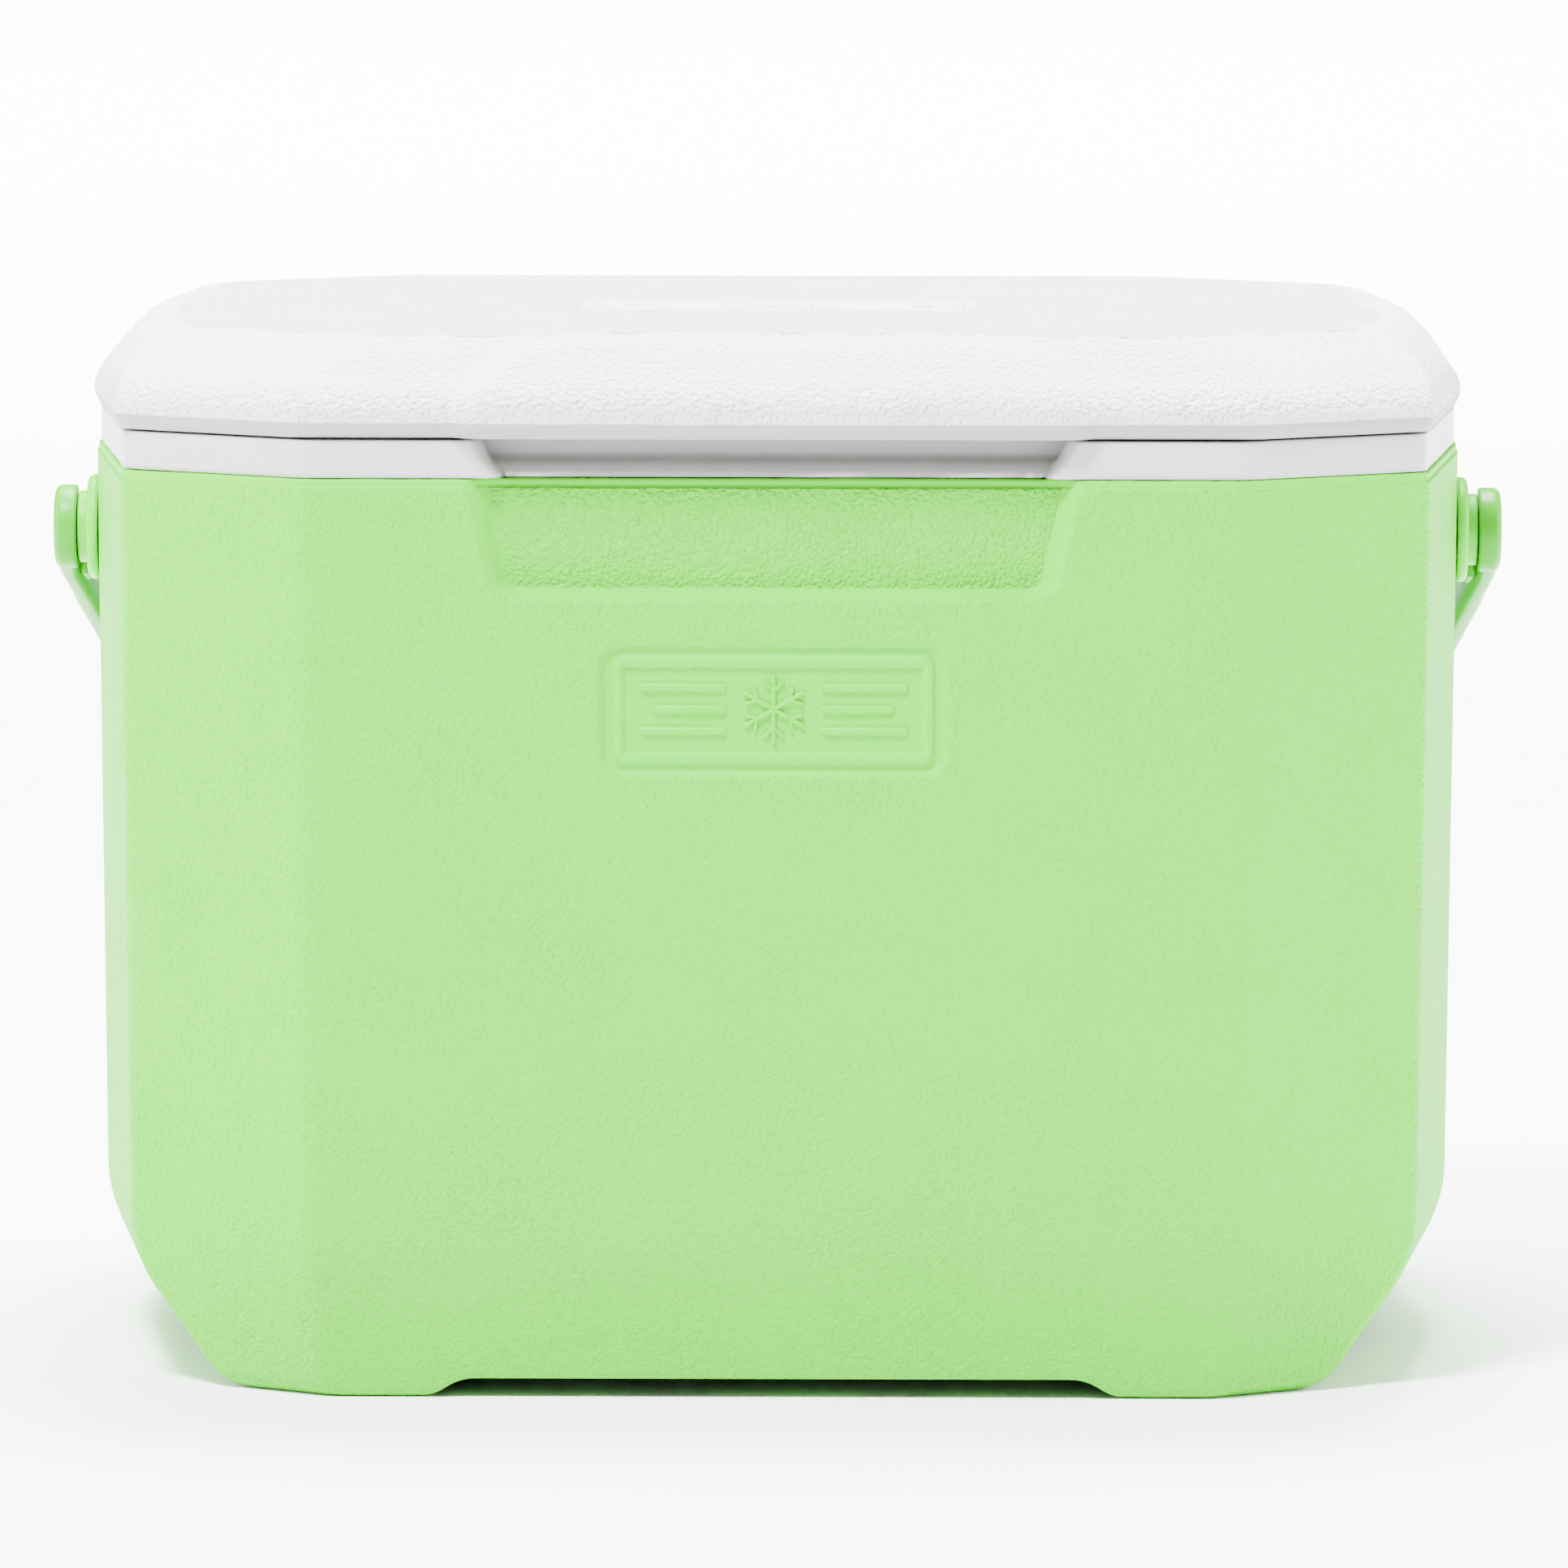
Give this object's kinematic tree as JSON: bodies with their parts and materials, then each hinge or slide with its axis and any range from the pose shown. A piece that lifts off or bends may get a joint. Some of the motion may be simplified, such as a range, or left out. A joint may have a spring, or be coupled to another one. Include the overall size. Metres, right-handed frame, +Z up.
{
  "type": "portable cooler",
  "caption": "Light-green hard-sided personal cooler with a white hinged lid, white liner rim, finger recess and a green bail handle stowed behind.",
  "frame": {"origin": "middle of the bounding box on the floor, with the lid shut and the bail stowed behind", "axes": "+X to the right seen from the front, +Y to the back where the hinges are, +Z up"},
  "size_m": [0.4268, 0.3054, 0.3044],
  "materials": {
    "green_shell": "leather-grain moulded polyethylene, satin",
    "green_handle": "smooth moulded polyethylene, semi-gloss",
    "white_lid": "leather-grain moulded polyethylene, satin",
    "white_liner": "smooth moulded liner, semi-gloss",
    "foam": "rigid urethane foam, sealed between the skins",
    "hinge_plastic": "smooth moulded plastic",
    "steel": "zinc-plated steel"
  },
  "bodies": {
    "cooler_body": {"outer_shell": "green_shell", "foam_body": "foam", "inner_liner": "white_liner", "hinge_body_leaf_left": "hinge_plastic", "hinge_pin_left": "steel", "hinge_body_screw_left_a": "steel", "hinge_body_screw_left_b": "steel", "pivot_boss_left": "green_handle", "pivot_pin_left": "green_handle", "pivot_retainer_left": "steel", "hinge_body_leaf_right": "hinge_plastic", "hinge_pin_right": "steel", "hinge_body_screw_right_a": "steel", "hinge_body_screw_right_b": "steel", "pivot_boss_right": "green_handle", "pivot_pin_right": "green_handle", "pivot_retainer_right": "steel"},
    "lid": {"lid_cover": "white_lid", "lid_foam": "foam", "lid_liner": "white_liner", "hinge_lid_leaf_left": "hinge_plastic", "hinge_lid_screw_left_a": "steel", "hinge_lid_screw_left_b": "steel", "hinge_lid_leaf_right": "hinge_plastic", "hinge_lid_screw_right_a": "steel", "hinge_lid_screw_right_b": "steel"},
    "bail": {"bail_handle": "green_handle"}
  },
  "joints": [
    {"name": "lid_hinge", "type": "hinge", "parent": "cooler_body", "child": "lid", "pos_m": [0, 0.13707, 0.2756], "axis": [-1, 0, 0], "range_deg": [0, 100]},
    {"name": "bail_swing", "type": "hinge", "parent": "cooler_body", "child": "bail", "pos_m": [0, -0.00813, 0.237], "axis": [1, 0, 0], "range_deg": [0, 226.8]}
  ]
}
